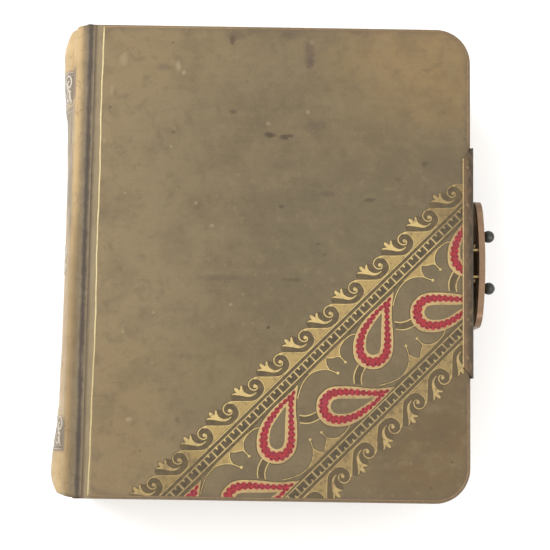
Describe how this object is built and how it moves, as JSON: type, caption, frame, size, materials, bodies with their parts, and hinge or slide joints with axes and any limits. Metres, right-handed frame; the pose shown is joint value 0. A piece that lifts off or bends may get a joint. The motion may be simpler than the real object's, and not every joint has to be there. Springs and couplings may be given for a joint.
{
  "type": "prayer book",
  "caption": "Leather-bound prayer book with a round spine, brass edge plates and a hinged brass clasp worked by finger knobs; covers and front leaves open.",
  "frame": {"origin": "within 0.3 mm of the middle of the book's overall box, on the face of the back cover that it lies on", "axes": "+Z from back cover to front cover, +Y from tail to head, +X from spine to fore edge"},
  "size_m": [0.1408, 0.15, 0.0427],
  "materials": {
    "cover_leather": "satin, mottled olive-tan with edge wear",
    "spine_leather": "satin tan, rubbed on the shoulders",
    "spine_tooling": "tooled, rubbed silver-gilt",
    "board": "matte",
    "endpaper": "matte, toned",
    "leaf_paper": "matte, toned",
    "page_block": "gilt edges, rubbed",
    "liner_paper": "matte",
    "tape_linen": "woven",
    "endband_silk": "worked silk in two colours",
    "plate_brass": "dark patina, bright on the inner edge",
    "hasp_brass": "copper-brown patina",
    "rivet_brass": "patina",
    "spring_brass": "satin",
    "pin_steel": "worn",
    "knob_iron": "dark, worn"
  },
  "bodies": {
    "text_block": {"spine_leather": "spine_leather", "spine_head_band": "spine_tooling", "spine_tail_band": "spine_tooling", "spine_centre_ornament": "spine_tooling", "spine_liner": "liner_paper", "sewing_tapes": "tape_linen", "headband": "endband_silk", "tailband": "endband_silk", "front_joint_leather": "spine_leather", "back_joint_leather": "spine_leather", "back_flyleaf": "leaf_paper", "gathering_1": "page_block", "gathering_2": "page_block", "gathering_3": "page_block", "gathering_4": "page_block", "gathering_5": "page_block", "gathering_6": "page_block"},
    "front_cover": {"front_cover_leather": "cover_leather", "front_board": "board", "front_pastedown": "endpaper", "front_edge_plate": "plate_brass", "front_plate_rivets": "rivet_brass", "keeper_studs": "rivet_brass"},
    "back_cover": {"back_cover_leather": "cover_leather", "back_board": "board", "back_pastedown": "endpaper", "back_edge_plate": "plate_brass", "back_plate_rivets": "rivet_brass", "hasp_hinge_pin": "pin_steel"},
    "hasp": {"hasp_plate": "hasp_brass", "hasp_backing": "hasp_brass", "catch_spring": "spring_brass", "spring_rivets": "rivet_brass"},
    "upper_knob": {"upper_knob": "knob_iron"},
    "lower_knob": {"lower_knob": "knob_iron"},
    "flyleaf": {"front_flyleaf": "leaf_paper"},
    "leaves_1": {"front_leaves_1": "leaf_paper"},
    "leaves_2": {"front_leaves_2": "leaf_paper"},
    "leaves_3": {"front_leaves_3": "leaf_paper"}
  },
  "joints": [
    {"name": "front_cover_open", "type": "hinge", "parent": "text_block", "child": "front_cover", "pos_m": [-0.06, 0, 0.04], "axis": [0, -1, 0], "range_deg": [0, 180], "deforming": ["front_joint_leather"]},
    {"name": "back_cover_open", "type": "hinge", "parent": "text_block", "child": "back_cover", "pos_m": [-0.06, 0, 0.002], "axis": [0, 1, 0], "range_deg": [0, 180], "deforming": ["back_joint_leather"]},
    {"name": "hasp_swing", "type": "hinge", "parent": "back_cover", "child": "hasp", "pos_m": [0.06395, 0, 0.0022], "axis": [0, 1, 0], "range_deg": [0, 80], "deforming": ["catch_spring"]},
    {"name": "upper_knob_pinch", "type": "slide", "parent": "hasp", "child": "upper_knob", "axis": [0, -1, 0], "range_m": [0, 0.002], "stiffness_N_per_m": 800, "springref_m": -0.0004},
    {"name": "lower_knob_pinch", "type": "slide", "parent": "hasp", "child": "lower_knob", "axis": [0, 1, 0], "range_m": [0, 0.002], "stiffness_N_per_m": 800, "springref_m": -0.0004},
    {"name": "flyleaf_turn", "type": "hinge", "parent": "text_block", "child": "flyleaf", "pos_m": [-0.06, 0, 0.04], "axis": [0, -1, 0], "range_deg": [0, 180]},
    {"name": "leaves_1_turn", "type": "hinge", "parent": "text_block", "child": "leaves_1", "pos_m": [-0.06, 0, 0.04], "axis": [0, -1, 0], "range_deg": [0, 180]},
    {"name": "leaves_2_turn", "type": "hinge", "parent": "text_block", "child": "leaves_2", "pos_m": [-0.06, 0, 0.04], "axis": [0, -1, 0], "range_deg": [0, 180]},
    {"name": "leaves_3_turn", "type": "hinge", "parent": "text_block", "child": "leaves_3", "pos_m": [-0.06, 0, 0.04], "axis": [0, -1, 0], "range_deg": [0, 180]}
  ],
  "couplings": [
    {"joint": "flyleaf_turn", "follows": "front_cover_open", "ratio": 0.985},
    {"joint": "leaves_1_turn", "follows": "front_cover_open", "ratio": 0.95},
    {"joint": "leaves_2_turn", "follows": "front_cover_open", "ratio": 0.905},
    {"joint": "leaves_3_turn", "follows": "front_cover_open", "ratio": 0.85}
  ]
}
